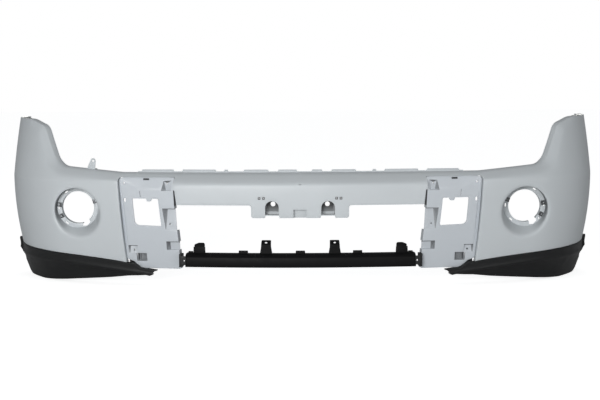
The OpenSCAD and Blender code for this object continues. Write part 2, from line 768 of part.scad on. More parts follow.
module plate_grommets() {
    color(black) both_sides() for (x = plate_x) {
        q = plan(x);
        translate([x, q[1] - mid_y - bulge(plate_z), plate_z]) difference() {
            union() {
                box_at([-2.4, 2.4], [-0.6, 8], [-2.4, 2.4]);
                box_at([-3.6, 3.6], [-1.6, -0.5], [-3.6, 3.6]);
            }
            translate([0, -2, 0]) rod(1.3, 12);
        }
    }
}

module fender_nut() difference() {
    union() {
        box_at([-7, 7], [-9, 9], [0, 1.2]);
        box_at([-7, 7], [-9, 9], [-wall - 1.4, -wall - 0.2]);
        box_at([-7, 7], [-9, -7.8], [-wall - 1.3, 1.1]);
        translate([0, 0, -9]) cylinder(r = 4.2, h = 6);
    }
    translate([0, 0, -12]) cylinder(r = 2.6, h = 20);
}
module fender_nuts_right() {
    color(zinc) for (s = fender_s) on_face(s, wing_edge_z(s) + 0.2, 12) fender_nut();
}
module fender_nuts_left() {
    color(zinc) mirror([1, 0, 0]) for (s = fender_s) on_face(s, wing_edge_z(s) + 0.2, 12) fender_nut();
}
function wing_edge_z(s) = lerp(wing_d[1], wing_e[1], (s - wing_d[0]) / (wing_e[0] - wing_d[0]));

module arch_screws() {
    color(zinc) both_sides() for (z = arch_screw_z) arch_place(z) pan_screw(5, 2.6, 2.2, 12);
}

face_skin();
trim_panel_left();
trim_panel_right();
fog_carrier_left();
fog_carrier_right();
fog_carrier_screws();
fog_lamp_nuts();
lower_corner_left();
lower_corner_right();
lower_corner_rivets();
corner_bolts();
lower_bar();
bar_bracket_left();
bar_bracket_right();
bar_screws();
grille_strip();
grille_strip_rivets();
washer_bracket();
washer_bracket_screw();
panel_screws();
panel_nuts_left();
panel_nuts_right();
clip_seat_left();
clip_seat_right();
plate_grommets();
fender_nuts_left();
fender_nuts_right();
arch_screws();
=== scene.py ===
"""Looks of the front bumper cover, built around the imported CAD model.

Lengths are in millimetres until a mesh is made, in the CAD model's frame:
X across the vehicle, Y to the rear, Z up, the front of the cover facing -Y.
"""

import math

import bmesh
import bpy
import numpy as np
from mathutils import Matrix, Quaternion, Vector
from mathutils.geometry import delaunay_2d_cdt


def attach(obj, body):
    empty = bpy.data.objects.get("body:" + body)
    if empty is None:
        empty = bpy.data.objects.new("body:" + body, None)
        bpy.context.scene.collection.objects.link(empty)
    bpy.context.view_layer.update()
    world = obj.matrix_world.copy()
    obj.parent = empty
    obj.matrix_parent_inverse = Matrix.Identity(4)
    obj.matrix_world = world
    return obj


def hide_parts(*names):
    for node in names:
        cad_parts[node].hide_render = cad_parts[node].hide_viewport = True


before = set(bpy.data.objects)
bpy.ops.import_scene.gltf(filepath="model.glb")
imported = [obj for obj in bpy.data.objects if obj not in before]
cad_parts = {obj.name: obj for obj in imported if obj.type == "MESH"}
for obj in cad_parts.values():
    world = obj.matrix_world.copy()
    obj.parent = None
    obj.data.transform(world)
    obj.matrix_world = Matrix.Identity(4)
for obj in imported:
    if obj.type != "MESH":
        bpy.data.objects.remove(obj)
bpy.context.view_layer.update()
MM = 0.001

# ------------------------------------------------------------------ the face surface
# The plan line is a chain of arcs (radius, degrees) from the middle outwards.
ARCS = [(2600, 8), (1620, 12), (310, 46), (480, 22)]
BAR_TOP, BAR_LOW, DROP_LOW = 332.0, 241.5, 205.0
BAR_END, GAP_END, DROP_END = 355.0, 533.0, 140.0
CROWN_Z, WING_TIP, WING_LOW, WING_FOOT, PANEL_S = 310.0, 487.0, 69.0, 520.0, 445.0
WING_START, WING_NECK = (GAP_END, 332.5), (745, 349)
WING_SHOULDER, WING_CREST = (806, 464), (876, 485)
ARCH_Y, ARCH_Z, ARCH_R = 825.0, 122.0, 455.0
MID_Y = (ARCH_Y - math.sqrt(ARCH_R**2 - (WING_TIP - ARCH_Z) ** 2) - 5) / 2


def plan(s):
    """Point and heading (radians) on the plan line at arc length s from the middle."""
    side = 1 if s >= 0 else -1
    s = abs(s)
    x = y = h = 0.0
    for r, a in ARCS:
        step = min(s / r, math.radians(a))
        x += r * (math.sin(h + step) - math.sin(h))
        y += r * (math.cos(h) - math.cos(h + step))
        h += step
        s -= step * r
        if s <= 1e-9:
            return side * x, y, side * h
    return side * (x + s * math.cos(h)), y + s * math.sin(h), side * h


def bulge(z):
    """How far the face stands before the plan line at height z."""
    d = z - CROWN_Z
    return 5 - (21 * (d / 200) ** 2 if d < 0 else 6 * (d / 177) ** 2)


def face(s, z, inset=0.0):
    """Point at station s and height z, inset millimetres behind the face."""
    x, y, h = plan(s)
    out = bulge(z) - inset
    lean = 0.45 * max(0.0, z - CROWN_Z)
    return Vector((x + out * math.sin(h), y - out * math.cos(h) + lean - MID_Y, z))


def arch_s(z):
    """Station where the face meets the wheel arch."""
    edge = ARCH_Y - math.sqrt(ARCH_R**2 - (z - ARCH_Z) ** 2) - MID_Y
    lo, hi = 700.0, 1500.0
    for _ in range(40):
        mid = (lo + hi) / 2
        lo, hi = (mid, hi) if face(mid, z).y < edge else (lo, mid)
    return (lo + hi) / 2


def low_z(s):
    """Height of the wing's lower edge."""
    t = min(1.0, max(0.0, (s - WING_FOOT) / 535))
    return WING_LOW + 32 * math.sin(math.pi / 2 * t**0.8)


def table(x, rows):
    """Value at x between the rows (x, value), held beyond both ends."""
    return float(np.interp(x, [r[0] for r in rows], [r[1] for r in rows]))


def round_corners(points, radii, step=14.0):
    """Outline with each corner i rounded by radii[i], if that is given."""
    out = []
    n = len(points)
    for i, b in enumerate(points):
        r = radii.get(i, 0)
        if not r:
            out.append(tuple(b))
            continue
        a, c = Vector(points[i - 1]), Vector(points[(i + 1) % n])
        b = Vector(b)
        u, v = (a - b).normalized(), (c - b).normalized()
        half = math.acos(max(-1, min(1, u.dot(v)))) / 2
        reach = r / math.tan(half)
        turn = math.pi - 2 * half
        centre = b + (u + v).normalized() * (r / math.sin(half))
        p = b + u * reach
        k = max(2, int(math.degrees(turn) / step) + 1)
        sign = 1 if (p - centre).cross(b + v * reach - centre) > 0 else -1
        start = math.atan2(p.y - centre.y, p.x - centre.x)
        for j in range(k + 1):
            t = start + sign * turn * j / k
            out.append((centre.x + r * math.cos(t), centre.y + r * math.sin(t)))
    return out


def subdivide(line, step, closed=False):
    """The same line with no segment longer than step."""
    out = []
    ends = list(line) + ([line[0]] if closed else [])
    for a, b in zip(ends, ends[1:]):
        n = max(1, math.ceil(math.dist(a, b) / step))
        out += [(a[0] + (b[0] - a[0]) * k / n, a[1] + (b[1] - a[1]) * k / n) for k in range(n)]
    return out if closed else out + [tuple(line[-1])]


def circle(cx, cz, r, n, squash=1.0):
    """Loop of n points, squash times as wide as high."""
    return [
        (cx + r * squash * math.cos(2 * math.pi * k / n), cz + r * math.sin(2 * math.pi * k / n))
        for k in range(n)
    ]


def box_loop(x0, x1, z0, z1, r=0.0):
    """Rectangle with corners of radius r."""
    line = [(x0, z0), (x1, z0), (x1, z1), (x0, z1)]
    return round_corners(line, {k: r for k in range(4)} if r else {}, 30)


# ------------------------------------------------------------------ sheets
def inside(p, loop):
    """Whether point p lies inside a closed loop."""
    x, y = p
    hit = False
    for (ax, ay), (bx, by) in zip(loop, loop[1:] + loop[:1]):
        if (ay > y) != (by > y) and x < (bx - ax) * (y - ay) / (by - ay) + ax:
            hit = not hit
    return hit


def no_painted_shade(u, v, t):
    return 0.0


class Hole:
    """Opening or recess in a sheet. wall(u, v, t) gives the point at the share t of the way
    down its wall; floor, if there is one, gives the floor's point at (u, v). The last
    function gives the share of painted shade that darkens the colour at (u, v, t) down there."""

    def __init__(self, loop, wall=None, steps=1, floor=None, painted_shade=None):
        self.loop, self.wall, self.steps, self.floor = loop, wall, steps, floor
        self.painted_shade = painted_shade or no_painted_shade


def sheet(
    bm, outline, place, spacing, holes=(), lines=(), lip=None, lip_steps=1, lip_painted_shade=no_painted_shade
):
    """Adds to bm the sheet that place(u, v) lays over an outline, with its holes, the edges
    of its lines, and a lip along the edges where lip(u, v, t) isn't None."""
    # each face carries its share of painted shade, which the material mixes in
    painted_shade = bm.faces.layers.float.get("painted_shade") or bm.faces.layers.float.new("painted_shade")
    loops = [outline] + [h.loop for h in holes]
    pts, edges = [], []
    for loop in loops:
        base = len(pts)
        pts += loop
        edges += [(base + k, base + (k + 1) % len(loop)) for k in range(len(loop))]
    for line in lines:
        base = len(pts)
        pts += line
        edges += [(base + k, base + k + 1) for k in range(len(line) - 1)]
    fixed = np.array(pts)
    seg_a = np.array([pts[a] for a, b in edges])
    seg_b = np.array([pts[b] for a, b in edges])
    span = seg_b - seg_a
    length2 = np.maximum((span**2).sum(1), 1e-9)
    lo, hi = fixed.min(0), fixed.max(0)
    rows = int((hi[1] - lo[1]) / (spacing * 0.87)) + 1
    cols = int((hi[0] - lo[0]) / spacing) + 1
    for j in range(rows + 1):
        for i in range(cols + 1):
            p = np.array([lo[0] + (i + 0.5 * (j % 2)) * spacing, lo[1] + j * spacing * 0.87])
            t = (((p - seg_a) * span).sum(1) / length2).clip(0, 1)
            near = ((seg_a + span * t[:, None] - p) ** 2).sum(1).min()
            if near > (0.55 * spacing) ** 2 and inside(p, outline):
                pts.append(tuple(p))
    verts, _, tris, *_ = delaunay_2d_cdt([Vector(p) for p in pts], edges, [], 0, 1e-4)

    def kind(tri):
        """-1 on the sheet, k on the floor of hole k, -3 - k in an open hole k, -2 outside."""
        c = [sum(verts[i][n] for i in tri) / 3 for n in (0, 1)]
        if not inside(c, outline):
            return -2
        for k, h in enumerate(holes):
            if inside(c, h.loop):
                return k if h.floor else -3 - k
        return -1

    made = {}

    def vert(i, level):
        """Vertex i of the plane mesh, laid on the sheet (-1) or on the floor of a hole."""
        key = (i, level)
        if key not in made:
            u, v = verts[i]
            p = place(u, v) if level == -1 else holes[level].floor(u, v)
            made[key] = bm.verts.new(Vector(p) * MM)
        return made[key]

    kinds = [kind(t) for t in tris]
    sides = {}
    for tri, k in zip(tris, kinds):
        if k >= -1:
            corners = [vert(i, k) for i in tri]
            if len(set(corners)) == 3:
                new = bm.faces.new(corners)
                if k >= 0:
                    mid = [sum(verts[i][n] for i in tri) / 3 for n in (0, 1)]
                    new[painted_shade] = holes[k].painted_shade(*mid, 1.0)
        for a, b in zip(tri, tri[1:] + tri[:1]):
            sides.setdefault((min(a, b), max(a, b)), []).append((k, a, b))
    rung = {}

    def down(i, key, func, steps):
        """Column of vertices below vertex i, the first one being on the sheet."""
        if (i, key) not in rung:
            u, v = verts[i]
            col = [vert(i, -1)]
            for n in range(1, steps + 1):
                if n == steps and isinstance(key, int) and key >= 0 and holes[key].floor:
                    col.append(vert(i, key))
                else:
                    col.append(bm.verts.new(Vector(func(u, v, n / steps)) * MM))
            rung[(i, key)] = col
        return rung[(i, key)]

    for (a, b), users in sides.items():
        ks = sorted({u[0] for u in users} | ({-2} if len(users) == 1 else set()))
        if len(ks) != 2 or -1 not in ks:
            continue
        other = ks[0] if ks[1] == -1 else ks[1]
        a, b = next((u[1], u[2]) for u in users if u[0] == -1)
        mid = [(verts[a][k] + verts[b][k]) / 2 for k in (0, 1)]
        if other >= 0:
            h = holes[other]
            func, steps, key = h.wall or (lambda u, v, t, h=h: h.floor(u, v)), h.steps, other
            dark = h.painted_shade
        elif other == -2:
            if lip is None:
                continue
            if lip(*mid, 1) is None or any(lip(*verts[i], 1) is None for i in (a, b)):
                continue
            func, steps, key, dark = lip, lip_steps, "lip", lip_painted_shade
        else:
            h = holes[-3 - other]
            if h.wall is None:
                continue
            func, steps, key, dark = h.wall, h.steps, ("hole", other), h.painted_shade
        ca, cb = down(a, key, func, steps), down(b, key, func, steps)
        for n in range(steps):
            quad = [ca[n], ca[n + 1], cb[n + 1], cb[n]]
            quad = [v for k, v in enumerate(quad) if v not in quad[:k]]
            if len(quad) > 2:
                bm.faces.new(quad)[painted_shade] = dark(*mid, (n + 0.5) / steps)


def mirror_half(bm, weld=0.0004):
    """Adds the mirror image in X and joins it along the middle."""
    geom = bm.verts[:] + bm.edges[:] + bm.faces[:]
    copy = bmesh.ops.duplicate(bm, geom=geom)["geom"]
    new = [v for v in copy if isinstance(v, bmesh.types.BMVert)]
    for v in new:
        v.co.x = -v.co.x
    bmesh.ops.reverse_faces(bm, faces=[f for f in copy if isinstance(f, bmesh.types.BMFace)])
    middle = [v for v in bm.verts if abs(v.co.x) < weld]
    bmesh.ops.remove_doubles(bm, verts=middle, dist=weld)


def facing(bm, axis, sign):
    """Turns the faces so that most of them look along sign * axis."""
    bmesh.ops.remove_doubles(bm, verts=bm.verts, dist=2e-6)
    bmesh.ops.dissolve_degenerate(bm, edges=bm.edges, dist=1e-6)
    bmesh.ops.recalc_face_normals(bm, faces=bm.faces)
    total = sum(f.normal[axis] * f.calc_area() for f in bm.faces)
    if total * sign < 0:
        bmesh.ops.reverse_faces(bm, faces=bm.faces)


def finish_mesh(
    name, bm, material, thickness=0.0, bevel=0.0, sharp=38.0, segments=2, even=True
):
    """Object from bm: thickened to the inside, its edges rounded, its faces smooth. A wall of
    even thickness grows spikes where a sheet is folded back on itself; even=False doesn't."""
    me = bpy.data.meshes.new(name)
    bm.to_mesh(me)
    bm.free()
    ob = bpy.data.objects.new(name, me)
    bpy.context.scene.collection.objects.link(ob)
    if thickness:
        m = ob.modifiers.new("wall", "SOLIDIFY")
        m.thickness, m.offset, m.use_even_offset = thickness * MM, -1, even
        m.use_quality_normals = True
    if bevel:
        m = ob.modifiers.new("edges", "BEVEL")
        m.width, m.segments, m.limit_method = bevel * MM, segments, "ANGLE"
        m.angle_limit = math.radians(sharp)
    if ob.modifiers:
        deps = bpy.context.evaluated_depsgraph_get()
        done = bpy.data.meshes.new_from_object(ob.evaluated_get(deps))
        ob.modifiers.clear()
        ob.data = done
        done.name = name
    ob.data.materials.clear()
    ob.data.materials.append(material)
    ob.data.polygons.foreach_set("use_smooth", [True] * len(ob.data.polygons))
    ob.data.set_sharp_from_angle(angle=math.radians(40))
    return ob


def ready(ob, nodes):
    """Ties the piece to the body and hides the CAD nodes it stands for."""
    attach(ob, "root")
    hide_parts(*nodes)


# ------------------------------------------------------------------ materials
class Nodes:
    """A material's node tree, written one line per node."""

    def __init__(self, name):
        self.mat = bpy.data.materials.new(name)
        self.mat.use_nodes = True
        self.tree = self.mat.node_tree
        self.bsdf = self.tree.nodes["Principled BSDF"]
        self.where = self.add("ShaderNodeTexCoord").outputs["Object"]

    def add(self, kind, **values):
        node = self.tree.nodes.new(kind)
        for key, value in values.items():
            if hasattr(node, key):
                setattr(node, key, value)
            else:
                node.inputs[key.replace("_", " ")].default_value = value
        return node

    def link(self, a, b):
        self.tree.links.new(a, b)

    def noise(self, scale, detail=3.0, rough=0.5):
        n = self.add("ShaderNodeTexNoise", Scale=scale, Detail=detail, Roughness=rough)
        self.link(self.where, n.inputs["Vector"])
        return n.outputs["Fac"]

    def ramp(self, fac, *stops):
        n = self.add("ShaderNodeValToRGB")
        while len(n.color_ramp.elements) < len(stops):
            n.color_ramp.elements.new(0.5)
        for e, (pos, col) in zip(n.color_ramp.elements, stops):
            e.position, e.color = pos, (*col, 1) if len(col) == 3 else col
        self.link(fac, n.inputs["Fac"])
        return n.outputs["Color"]

    def bump(self, height, distance, strength=1.0, under=None):
        n = self.add("ShaderNodeBump", Strength=strength, Distance=distance)
        self.link(height, n.inputs["Height"])
        if under:
            self.link(under, n.inputs["Normal"])
        return n.outputs["Normal"]


def spread(rgb, amount):
    """A darker and a lighter shade of the colour."""
    return tuple(max(0.0, c * (1 - amount)) for c in rgb), tuple(c * (1 + amount) for c in rgb)


def moulded(name, rgb, rough, variation, grain, grain_size, specular=0.5, under=None):
    """Moulded plastic: soft colour drift, fine grain and uneven gloss. Where a face's share of
    painted shade is above nought, the colour darkens towards the under colour: painted shade."""
    n = Nodes(name)
    dark, light = spread(rgb, variation)
    colour = n.ramp(n.noise(5.0, 4.0), (0.3, dark), (0.7, light))
    # painted shade: a face's share of it mixes the colour towards the darker under colour
    if under:
        dark, light = spread(under, 0.3)
        shade_colour = n.ramp(n.noise(60.0, 4.0), (0.3, dark), (0.7, light))
        share = n.add("ShaderNodeAttribute", attribute_name="painted_shade")
        mix = n.add("ShaderNodeMix", data_type="RGBA")
        n.link(share.outputs["Fac"], mix.inputs["Factor"])
        n.link(colour, mix.inputs[6])
        n.link(shade_colour, mix.inputs[7])
        colour = mix.outputs[2]
    n.link(colour, n.bsdf.inputs["Base Color"])
    r = n.ramp(n.noise(30.0, 5.0), (0.25, (rough - 0.06,) * 3), (0.75, (rough + 0.06,) * 3))
    n.link(r, n.bsdf.inputs["Roughness"])
    waves = n.bump(n.noise(14.0, 1.0), 0.0006, 0.35)
    n.link(n.bump(n.noise(1.0 / grain_size, 2.0, 0.6), grain, 0.8, waves), n.bsdf.inputs["Normal"])
    n.bsdf.inputs["Specular IOR Level"].default_value = specular
    return n.mat


def metal(name, rgb, rough):
    """Metal with small stains and uneven gloss."""
    n = Nodes(name)
    dark, light = spread(rgb, 0.12)
    n.link(n.ramp(n.noise(180.0, 4.0), (0.3, dark), (0.7, light)), n.bsdf.inputs["Base Color"])
    r = n.ramp(n.noise(260.0, 4.0), (0.2, (rough - 0.1,) * 3), (0.8, (rough + 0.12,) * 3))
    n.link(r, n.bsdf.inputs["Roughness"])
    n.link(n.bump(n.noise(900.0, 2.0), 0.00005, 0.5), n.bsdf.inputs["Normal"])
    n.bsdf.inputs["Metallic"].default_value = 1.0
    return n.mat


# Each line: colour, roughness, drift of the colour, depth and size of the grain (metres)
PRIMER_GRAIN = (0.02, 0.00004, 0.0016)
# dark colour that the primers' painted shade in recesses and gaps mixes towards
SHADE_RGB = (0.045, 0.047, 0.05)
PRIMER = moulded(
    "primer_satin", (0.56, 0.595, 0.615), 0.42, *PRIMER_GRAIN, under=SHADE_RGB
)
PANEL = moulded(
    "primer_panel", (0.54, 0.575, 0.61), 0.45, *PRIMER_GRAIN, under=SHADE_RGB
)
BLACK = moulded("black_grained", (0.0105, 0.011, 0.0115), 0.5, 0.12, 0.00012, 0.0011, 0.3)
BAR_BLACK = moulded("black_bar", (0.0055, 0.0055, 0.0058), 0.5, 0.12, 0.00008, 0.0011, 0.1)
NYLON_BLACK = moulded("black_nylon", (0.015, 0.015, 0.017), 0.38, 0.1, 0.00002, 0.001)
NYLON_GREY = moulded("grey_nylon", (0.11, 0.115, 0.12), 0.4, 0.1, 0.00002, 0.001)
NYLON = moulded("natural_nylon", (0.24, 0.255, 0.27), 0.4, 0.05, 0.00002, 0.001)
ZINC = metal("zinc_plated", (0.55, 0.55, 0.53), 0.34)
SPRING = metal("spring_steel", (0.12, 0.125, 0.13), 0.4)

# ------------------------------------------------------------------ face moulding
TIP_S = arch_s(WING_TIP)
WING_TOP = subdivide(
    round_corners(
        [WING_START, WING_NECK, WING_SHOULDER, WING_CREST, (TIP_S, WING_TIP)],
        {1: 60, 2: 40, 3: 120},
        step=6.0,
    )[:-1]
    + [(TIP_S, WING_TIP)],
    9.0,
)
TOP_LINE = subdivide([(0, BAR_TOP), WING_START], 9.0)[:-1] + WING_TOP
TOP = np.array(TOP_LINE)
TOP_SPAN = TOP[1:] - TOP[:-1]
TOP_LEN2 = (TOP_SPAN**2).sum(1)
# The slope along the upper edge: how deep it drops and how wide it is, by station
CHAMFER_INSET = [(BAR_END, 38), (GAP_END, 24), (745, 24), (806, 10), (880, 0)]
CHAMFER_WIDTH = [(BAR_END, 31), (GAP_END, 22), (806, 21), (880, 15)]


def from_top(s, z):
    """Distance to the upper edge, and the station of the nearest point on it."""
    p = np.array([abs(s), z])
    t = (((p - TOP[:-1]) * TOP_SPAN).sum(1) / TOP_LEN2).clip(0, 1)
    q = TOP[:-1] + TOP_SPAN * t[:, None]
    d2 = ((q - p) ** 2).sum(1)
    k = int(d2.argmin())
    return math.sqrt(d2[k]), float(q[k][0])


def chamfer(s, z):
    """Inset of the slope along the upper edge."""
    d, at = from_top(s, z)
    t = d / table(at, CHAMFER_WIDTH)
    soft = table(at, [(GAP_END, 0.13), (640, 0.35), (780, 0.5)])
    return table(at, CHAMFER_INSET) * 0.5 * ((1 - t) + math.sqrt((1 - t) ** 2 + soft**2))


# Fog dish: centre, radius and width to height; seat of the lamp carrier at its bottom
DISH_S, DISH_Z, DISH_R, DISH_SQUASH = 669.0, 213.0, 73.0, 1 / 0.95
# width and inset of the rim's roll, and the direction where the dish wall's painted shade is
# darkest
DISH_LIP, LIP_INSET, DARK_SIDE = 9.0, 3.2, math.radians(50)
SEAT_X, SEAT_Z, SEAT_R, SEAT_Y = 662.0, 225.0, 61.0, 145 - MID_Y
# Tow opening: middle, top, half width, depth, foot, and the height where its floor side ends
TOW_X, TOW_TOP, TOW_R, TOW_DEEP, TOW_FOOT, TOW_SILL = 80.0, 254.0, 19.5, 32.0, 214, 216


def skin(s, z, inset=0.0):
    """Outer surface of the face moulding."""
    r = math.hypot((s - DISH_S) / DISH_SQUASH, z - DISH_Z)
    rolled = max(0.0, 1 - (r - DISH_R) / DISH_LIP)
    return face(s, z, inset + chamfer(s, z) + LIP_INSET * min(1.0, rolled) ** 2)


def dish_wall(s, z, t):
    """Point at the share t of the way from the dish's rim to the seat."""
    a = math.atan2(z - DISH_Z, (s - DISH_S) / DISH_SQUASH)
    rim = skin(s, z)
    seat = Vector((SEAT_X + SEAT_R * math.cos(a), SEAT_Y, SEAT_Z + SEAT_R * math.sin(a)))
    p = rim.lerp(seat, t)
    ease = t**0.8
    return Vector((rim.x + (seat.x - rim.x) * ease, p.y, rim.z + (seat.z - rim.z) * ease))


def dish_painted_shade(s, z, t):
    """Painted shade on the dish's wall: darkest on its outer side and top, light on its floor
    side.
    """
    a = math.atan2(z - DISH_Z, s - DISH_S)
    away = math.cos(a - DARK_SIDE)
    return 0.85 * min(1.0, max(0.0, 0.45 + 0.9 * away)) * min(1.0, 2.5 * t)


# painted shade in the tow pocket: light on its floor side below the sill, dark above it
def tow_painted_shade(_x, z, _t):
    return 0.25 if z < TOW_SILL else 1.0


def tow_loop():
    """Outline of a tow opening, round at the top."""
    top = TOW_TOP - TOW_R
    arc = [
        (TOW_X + TOW_R * math.cos(a), top + TOW_R * math.sin(a))
        for a in np.linspace(0, math.pi, 25)
    ]
    foot = [(TOW_X - TOW_R, top), (TOW_X - TOW_R, TOW_FOOT), (TOW_X + TOW_R, TOW_FOOT)]
    return arc + subdivide(foot, 8)[1:]


def seam_s(z):
    """Station of the wing's edge beside the trim panel."""
    return WING_FOOT + (GAP_END - WING_FOOT) * (z - WING_LOW) / (320 - WING_LOW)


FOOT_S = arch_s(low_z(1050))
ARCH_EDGE = [(arch_s(z), z) for z in np.linspace(low_z(FOOT_S), WING_TIP, 56)]
WING_EDGE_LOW = [(s, low_z(s)) for s in np.linspace(WING_FOOT, FOOT_S, 60)]
LOWER_LINE = round_corners(
    [
        (0, DROP_LOW), (58.5, DROP_LOW), (60.5, 211.5), (99.5, 211.5), (101.5, DROP_LOW),
        (DROP_END, DROP_LOW), (DROP_END, BAR_LOW), (BAR_END + 1, BAR_LOW), (BAR_END + 6, 284),
        (BAR_END + 11, 284), (BAR_END + 11, 318), (GAP_END, 320), (WING_FOOT, WING_LOW),
    ],
    {5: 7, 6: 7, 11: 10},
)
OUTLINE = (
    subdivide(LOWER_LINE, 9.0)[:-1]
    + WING_EDGE_LOW[:-1]
    + ARCH_EDGE[:-1]
    + TOP_LINE[::-1]
    + subdivide([(0, BAR_TOP), (0, DROP_LOW)], 9.0)[1:-1]
)


def flange_depth(s, z):
    """How far the edge of the face is folded back, or None where it isn't an edge."""
    if from_top(s, z)[0] < 0.3 or (s > TIP_S - 60 and z > WING_TIP - 40):
        return 20.0
    if s > 700 and abs(s - arch_s(z)) < 1.0:
        return 16.0
    if s > WING_FOOT - 1 and abs(z - low_z(s)) < 0.5:
        return 19.0
    if z < 318 and abs(s - seam_s(z)) < 1.0:
        return 15.0
    if s <= DROP_END + 0.1 and z < 214.5:
        return 19.0
    if s <= BAR_END + 0.5 and z < BAR_LOW + 0.3:
        return 7.0
    if s < BAR_END + 11.1 and z < 317.5:
        return 14.0
    if 317.5 < z < 321 and s < GAP_END + 0.1:
        return 6.0
    return 6.0 if s > 500 and 310 < z < 321 else None


def fold(s, z, t):
    """Flange of the face moulding; there is none along the middle, where the halves meet."""
    deep = flange_depth(s, z)
    if deep is None or (s < 0.01 and DROP_LOW + 0.1 < z < BAR_TOP - 0.1):
        return None
    return skin(s, z, deep * t)


def offset_line(d_of):
    """The upper edge moved inwards by the distance d_of(station)."""
    out = []
    for i in range(len(TOP_LINE)):
        a, b = TOP[max(0, i - 1)], TOP[min(len(TOP) - 1, i + 1)]
        u = (b - a) / np.linalg.norm(b - a)
        d = d_of(TOP[i][0])
        p = (TOP[i][0] + u[1] * d, TOP[i][1] - u[0] * d)
        if abs(from_top(*p)[0] - d) > 0.4 or p[0] > arch_s(p[1]) - 5:
            continue
        if out and math.dist(out[-1], p) < 3.0:
            continue
        out.append(p)
    return out


def face_skin():
    bm = bmesh.new()
    slope = [
        offset_line(lambda s, k=k: k * table(s, CHAMFER_WIDTH))
        for k in (0.3, 0.6, 0.8, 0.9, 1.0, 1.1, 1.2, 1.4)
    ]
    # above the trim panels the moulding is a narrow strip, so the deeper lines stop there
    runs = []
    for line in slope:
        run = []
        for s, z in line:
            if not (BAR_END - 4 < s < GAP_END + 6 and z < 321.5):
                run.append((s, z))
            elif run:
                runs.append(run)
                run = []
        runs.append(run)
    rings = [
        circle(DISH_S, DISH_Z, DISH_R + d, 96, DISH_SQUASH) for d in (2.0, 4.5, DISH_LIP)
    ]
    lines = [r for r in runs if len(r) > 1] + [r + r[:1] for r in rings]
    holes = [
        Hole(circle(DISH_S, DISH_Z, DISH_R, 96, DISH_SQUASH), dish_wall, 8, painted_shade=dish_painted_shade),
        Hole(tow_loop(), lambda u, v, t: skin(u, v, TOW_DEEP * t), 3, painted_shade=tow_painted_shade),
        # recess in the middle, with painted shade on its walls
        Hole(
            [(-4, 200), (18.5, 200), (18.5, 229), (-4, 229)],
            floor=lambda u, v: skin(u, v, 12.0),
            painted_shade=lambda u, v, t: 0.0 if t == 1 else 0.6,
        ),
    ]
    for x in (104, 116.5):
        holes.append(Hole(box_loop(x - 2.5, x + 2.5, 259.5, 264.5)))
    sheet(bm, OUTLINE, skin, 8.0, holes, lines, fold, 2)
    # back of the tow pocket, with its round hole; a patch just behind it carries painted shade,
    # darker towards the top
    sheet(
        bm,
        tow_loop(),
        lambda u, v: skin(u, v, TOW_DEEP),
        3.5,
        [
            Hole(circle(TOW_X - 1, TOW_TOP - 11, 7, 24)),
            Hole(
                box_loop(TOW_X - TOW_R + 1, TOW_X + TOW_R - 1, 221, 253.5),
                floor=lambda u, v: skin(u, v, TOW_DEEP + 0.3),
                painted_shade=lambda u, v, t: min(1.0, 0.55 + (v - 221) / 40),
            ),
        ],
    )
    facing(bm, 1, -1)
    mirror_half(bm)
    ready(finish_mesh("face_moulding", bm, PRIMER, 2.8, 1.1), ["face_skin"])


face_skin()

# ------------------------------------------------------------------ helpers for the other parts
def to_frame(s0):
    """Local frame on the plan line at station s0: x along it, y to the rear, z up."""
    x, y, h = plan(s0)
    return Matrix.Translation((x, y - MID_Y, 0)) @ Matrix.Rotation(h, 4, "Z")


def mirrored_copy(bm):
    """The same mesh on the other side of the vehicle."""
    new = bm.copy()
    bmesh.ops.scale(new, vec=(-1, 1, 1), verts=new.verts)
    bmesh.ops.reverse_faces(new, faces=new.faces)
    return new


def both(name, bm, nodes, slot, material, **looks):
    """The piece on the right from bm, and its mirror image on the left."""
    left = mirrored_copy(bm)
    ready(finish_mesh(name + "_right", bm, material, **looks), [nodes + "_right"])
    ready(finish_mesh(name + "_left", left, material, **looks), [nodes + "_left"])


def loft(bm, rows):
    """Quads between rows of points, in millimetres."""
    made = [[bm.verts.new(Vector(p) * MM) for p in row] for row in rows]
    for a, b in zip(made, made[1:]):
        for p, q, r, s in zip(a, a[1:], b, b[1:]):
            bm.faces.new((p, q, s, r))


def smooth_line(points, per=5):
    """Catmull-Rom curve through the points."""
    p = np.array(points, float)
    p = np.vstack([2 * p[0] - p[1], p, 2 * p[-1] - p[-2]])
    out = []
    for i in range(1, len(p) - 2):
        for k in range(per):
            t = k / per
            out.append(
                0.5
                * (
                    2 * p[i]
                    + (p[i + 1] - p[i - 1]) * t
                    + (2 * p[i - 1] - 5 * p[i] + 4 * p[i + 1] - p[i + 2]) * t**2
                    + (3 * p[i] - p[i - 1] - 3 * p[i + 1] + p[i + 2]) * t**3
                )
            )
    return out + [p[-2]]


def rounded_copy(node, material, width):
    """The CAD node's shape under its own name, with its edges rounded."""
    bm = bmesh.new()
    bm.from_mesh(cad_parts[node].data)
    bmesh.ops.remove_doubles(bm, verts=bm.verts, dist=1e-5)
    bmesh.ops.dissolve_limit(bm, angle_limit=0.01, verts=bm.verts, edges=bm.edges)
    ready(finish_mesh(node, bm, material, bevel=width, sharp=30), [node])


PANEL_FRAME = to_frame(PANEL_S)

# ------------------------------------------------------------------ black lower corners
TAB_Y = 43.5
RIDGE = [(430, 33), (508, 43), (603, 54), (739, 68), (1003, 72), (1045, 80)]
CORNER_LOW = [
    (430, 31), (520, 27), (580, 20), (640, 15), (690, 11), (740, 7), (800, 3), (860, 0),
    (1000, 0), (1025, 6), (1045, 16), (1060, 30), (1090, 55),
]
CORNER_START, CORNER_END = 430, arch_s(low_z(1045)) - 1
FLARE_START, LOW_FLARE, LIP_FLARE = 900, 10, 7


def corner_top(s):
    """Height of the black corner's upper edge."""
    if s < WING_FOOT:
        inner = [(CORNER_START, 47), (476, 53), (497, WING_LOW), (WING_FOOT, WING_LOW - 1)]
        return table(s, inner)
    return low_z(s) + table(s, [(CORNER_END, -1), (CORNER_END + 5, 10)])


